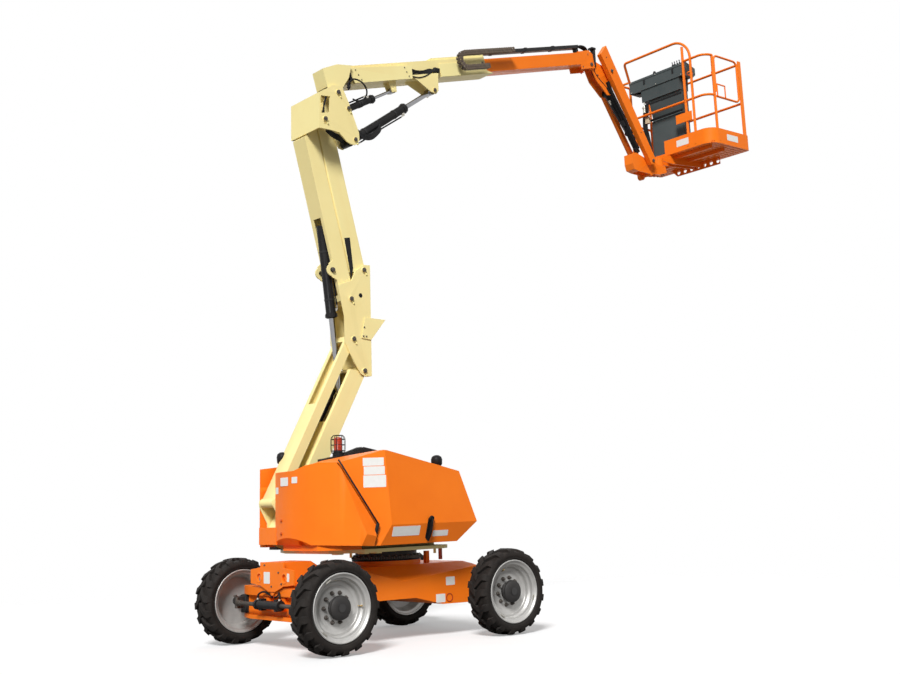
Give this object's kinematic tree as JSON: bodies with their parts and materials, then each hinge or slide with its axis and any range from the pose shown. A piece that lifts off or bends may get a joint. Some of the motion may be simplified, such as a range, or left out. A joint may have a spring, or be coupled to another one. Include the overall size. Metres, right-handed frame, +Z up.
{
  "type": "articulating boom lift",
  "caption": "Wheeled articulating boom lift with a folding parallelogram tower, a telescopic boom, a jib and a rotating work platform, shown raised.",
  "frame": {"origin": "floor under the middle between the four wheels", "axes": "+X from the steer axle to the drive axle and the way the raised boom points, +Y to the tower's side, +Z up"},
  "size_m": [7.0664, 2, 7.044],
  "materials": {
    "orange_paint": "gloss",
    "cream_paint": "gloss",
    "black_paint": "satin",
    "chrome_rod": "polished",
    "tyre_rubber": "matte",
    "silver_rim": "satin",
    "cast_iron": "rough",
    "slate_plastic": "matte",
    "amber_lens": "gloss"
  },
  "bodies": {
    "chassis": {"chassis_frame": "orange_paint", "steer_axle": "orange_paint", "drive_axle": "orange_paint", "steering_cylinder": "black_paint"},
    "wheel_drive_near": {"tyre_drive_near": "tyre_rubber", "rim_drive_near": "silver_rim", "hub_drive_near": "black_paint"},
    "wheel_drive_far": {"tyre_drive_far": "tyre_rubber", "rim_drive_far": "silver_rim", "hub_drive_far": "black_paint"},
    "knuckle_near": {"steer_knuckle_near": "orange_paint"},
    "knuckle_far": {"steer_knuckle_far": "orange_paint"},
    "wheel_steer_near": {"tyre_steer_near": "tyre_rubber", "rim_steer_near": "silver_rim", "hub_steer_near": "black_paint"},
    "wheel_steer_far": {"tyre_steer_far": "tyre_rubber", "rim_steer_far": "silver_rim", "hub_steer_far": "black_paint"},
    "steering_rod": {"steering_rod": "chrome_rod"},
    "turntable": {"slew_bearing": "black_paint", "turntable_frame": "orange_paint", "counterweight": "orange_paint", "service_tank": "orange_paint", "engine_block": "cast_iron", "top_cover": "orange_paint", "beacon": "amber_lens"},
    "hood_near": {"hood_near": "orange_paint"},
    "hood_far": {"hood_far": "orange_paint"},
    "lower_arm": {"lower_arm": "cream_paint"},
    "lower_link": {"lower_link": "cream_paint"},
    "upright": {"upright": "cream_paint"},
    "mid_arm": {"mid_arm": "cream_paint"},
    "mid_link": {"mid_link": "cream_paint"},
    "tower_barrel": {"tower_barrel": "black_paint"},
    "tower_ram": {"tower_ram": "chrome_rod"},
    "riser": {"riser": "cream_paint"},
    "boom": {"boom_base": "cream_paint", "cable_carrier": "black_paint"},
    "fly": {"boom_fly": "orange_paint", "carrier_tube": "black_paint"},
    "lift_barrel": {"lift_barrel": "black_paint"},
    "lift_ram": {"lift_ram": "chrome_rod"},
    "master_barrel": {"master_barrel": "black_paint"},
    "master_ram": {"master_ram": "chrome_rod"},
    "knuckle": {"jib_knuckle": "orange_paint"},
    "jib_arm": {"jib_arm": "orange_paint"},
    "jib_link": {"jib_link": "orange_paint"},
    "jib_barrel": {"jib_barrel": "black_paint"},
    "jib_ram": {"jib_ram": "chrome_rod"},
    "platform_support": {"platform_support": "orange_paint"},
    "platform": {"platform_floor": "orange_paint", "platform_rails": "orange_paint", "console": "slate_plastic", "console_stand": "slate_plastic"},
    "gate": {"gate": "orange_paint"}
  },
  "joints": [
    {"name": "drive_near_spin", "type": "hinge", "parent": "chassis", "child": "wheel_drive_near", "pos_m": [0.945, -0.8325, 0.3865], "axis": [0, 1, 0], "continuous": true},
    {"name": "drive_far_spin", "type": "hinge", "parent": "chassis", "child": "wheel_drive_far", "pos_m": [0.945, 0.8325, 0.3865], "axis": [0, 1, 0], "continuous": true},
    {"name": "steer_near", "type": "hinge", "parent": "chassis", "child": "knuckle_near", "pos_m": [-0.945, -0.6, 0.3865], "axis": [0, 0, 1], "range_deg": [-30, 30]},
    {"name": "steer_far", "type": "hinge", "parent": "chassis", "child": "knuckle_far", "pos_m": [-0.945, 0.6, 0.3865], "axis": [0, 0, 1], "range_deg": [-31, 31]},
    {"name": "steering_stroke", "type": "slide", "parent": "chassis", "child": "steering_rod", "axis": [0, 1, 0], "range_m": [-0.075, 0.075]},
    {"name": "wheel_near_spin", "type": "hinge", "parent": "knuckle_near", "child": "wheel_steer_near", "pos_m": [-0.945, -0.8325, 0.3865], "axis": [0, 1, 0], "continuous": true},
    {"name": "wheel_far_spin", "type": "hinge", "parent": "knuckle_far", "child": "wheel_steer_far", "pos_m": [-0.945, 0.8325, 0.3865], "axis": [0, 1, 0], "continuous": true},
    {"name": "swing", "type": "hinge", "parent": "chassis", "child": "turntable", "pos_m": [0.18, 0, 0.7], "axis": [0, 0, 1], "range_deg": [-177.5, 177.5]},
    {"name": "hood_near_open", "type": "hinge", "parent": "turntable", "child": "hood_near", "pos_m": [0, -0.1, 1.62], "axis": [-1, 0, 0], "range_deg": [0, 65]},
    {"name": "hood_far_open", "type": "hinge", "parent": "turntable", "child": "hood_far", "pos_m": [0, 0.586, 1.5], "axis": [1, 0, 0], "range_deg": [0, 38]},
    {"name": "tower_lift", "type": "hinge", "parent": "turntable", "child": "lower_arm", "pos_m": [-0.845, 0.4, 1.26], "axis": [0, -1, 0], "range_deg": [-56.5, 1]},
    {"name": "lower_link_turn", "type": "hinge", "parent": "turntable", "child": "lower_link", "pos_m": [-0.72, 0.4, 0.948], "axis": [0, -1, 0], "range_deg": [-56.6, 1.1]},
    {"name": "upright_level", "type": "hinge", "parent": "lower_arm", "child": "upright", "pos_m": [0.02477, 0.4, 2.83363], "axis": [0, -1, 0], "range_deg": [-1.1, 56.6]},
    {"name": "mid_arm_turn", "type": "hinge", "parent": "upright", "child": "mid_arm", "pos_m": [0.00177, 0.4, 3.23663], "axis": [0, -1, 0], "range_deg": [-1.4, 70.6]},
    {"name": "mid_link_turn", "type": "hinge", "parent": "upright", "child": "mid_link", "pos_m": [0.15877, 0.4, 3.54563], "axis": [0, -1, 0], "range_deg": [-1.4, 70.6]},
    {"name": "riser_level", "type": "hinge", "parent": "mid_arm", "child": "riser", "pos_m": [-0.43016, 0.4, 4.98198], "axis": [0, -1, 0], "range_deg": [-70.6, 1.4]},
    {"name": "tower_barrel_turn", "type": "hinge", "parent": "mid_arm", "child": "tower_barrel", "pos_m": [-0.20023, 0.4, 3.51463], "axis": [0, -1, 0], "range_deg": [-63.4, 1.3]},
    {"name": "tower_stroke", "type": "slide", "parent": "tower_barrel", "child": "tower_ram", "axis": [0.1189, 0, -0.9929], "range_m": [-0.616, 0.012]},
    {"name": "boom_lift", "type": "hinge", "parent": "riser", "child": "boom", "pos_m": [-0.27316, 0.27, 5.29098], "axis": [0, -1, 0], "range_deg": [-16.5, 59]},
    {"name": "lift_barrel_turn", "type": "hinge", "parent": "riser", "child": "lift_barrel", "pos_m": [-0.07316, 0.19, 4.82698], "axis": [0, -1, 0], "range_deg": [-14, 49.6]},
    {"name": "lift_stroke", "type": "slide", "parent": "lift_barrel", "child": "lift_ram", "axis": [0.8178, 0, 0.5755], "range_m": [-0.124, 0.44]},
    {"name": "master_barrel_turn", "type": "hinge", "parent": "riser", "child": "master_barrel", "pos_m": [-0.15316, 0.19, 5.14498], "axis": [0, -1, 0], "range_deg": [-16, 56.9]},
    {"name": "master_stroke", "type": "slide", "parent": "master_barrel", "child": "master_ram", "axis": [0.8751, 0, 0.4839], "range_m": [-0.053, 0.187]},
    {"name": "boom_extend", "type": "slide", "parent": "boom", "child": "fly", "axis": [0.9636, 0, 0.2672], "range_m": [-1.5, 0]},
    {"name": "jib_base_level", "type": "hinge", "parent": "fly", "child": "knuckle", "pos_m": [3.5616, 0.27, 6.4686], "axis": [0, -1, 0], "range_deg": [-59.1, 16.6]},
    {"name": "jib_lift", "type": "hinge", "parent": "knuckle", "child": "jib_arm", "pos_m": [3.8396, 0.152, 6.4186], "axis": [0, -1, 0], "range_deg": [-2.5, 141.5]},
    {"name": "jib_link_turn", "type": "hinge", "parent": "knuckle", "child": "jib_link", "pos_m": [3.8846, 0.322, 6.2686], "axis": [0, -1, 0], "range_deg": [-2.6, 141.6]},
    {"name": "platform_level", "type": "hinge", "parent": "jib_arm", "child": "platform_support", "pos_m": [4.502, 0.152, 5.35854], "axis": [0, -1, 0], "range_deg": [-141.6, 2.6]},
    {"name": "jib_barrel_turn", "type": "hinge", "parent": "knuckle", "child": "jib_barrel", "pos_m": [3.8996, 0.25, 6.1786], "axis": [0, -1, 0], "range_deg": [-2.8, 148.6]},
    {"name": "jib_stroke", "type": "slide", "parent": "jib_barrel", "child": "jib_ram", "axis": [0.6245, 0, -0.781], "range_m": [-0.01, 0.502]},
    {"name": "platform_rotate", "type": "hinge", "parent": "platform_support", "child": "platform", "pos_m": [4.785, 0.27, 5.4], "axis": [0, 0, 1], "range_deg": [-90, 90]},
    {"name": "gate_open", "type": "hinge", "parent": "platform", "child": "gate", "pos_m": [5.1639, -0.469, 6.4], "axis": [0, 0, 1], "range_deg": [0, 65]}
  ],
  "couplings": [
    {"joint": "steer_far", "follows": "steer_near", "ratio": 1},
    {"joint": "steering_stroke", "follows": "steer_near", "m_per_rad": -0.13369},
    {"joint": "lower_link_turn", "follows": "tower_lift", "ratio": 1},
    {"joint": "upright_level", "follows": "tower_lift", "ratio": -1},
    {"joint": "mid_arm_turn", "follows": "tower_lift", "ratio": -1.2461},
    {"joint": "mid_link_turn", "follows": "tower_lift", "ratio": -1.2461},
    {"joint": "riser_level", "follows": "tower_lift", "ratio": 1.2461},
    {"joint": "tower_barrel_turn", "follows": "tower_lift", "ratio": 1.1194},
    {"joint": "tower_stroke", "follows": "tower_lift", "m_per_rad": 0.62351},
    {"joint": "lift_barrel_turn", "follows": "boom_lift", "ratio": 0.83793},
    {"joint": "lift_stroke", "follows": "boom_lift", "m_per_rad": 0.42583},
    {"joint": "master_barrel_turn", "follows": "boom_lift", "ratio": 0.96139},
    {"joint": "master_stroke", "follows": "boom_lift", "m_per_rad": 0.17995},
    {"joint": "jib_base_level", "follows": "boom_lift", "ratio": -1},
    {"joint": "jib_link_turn", "follows": "jib_lift", "ratio": 1},
    {"joint": "platform_level", "follows": "jib_lift", "ratio": -1},
    {"joint": "jib_barrel_turn", "follows": "jib_lift", "ratio": 1.0492},
    {"joint": "jib_stroke", "follows": "jib_lift", "m_per_rad": 0.20272}
  ]
}
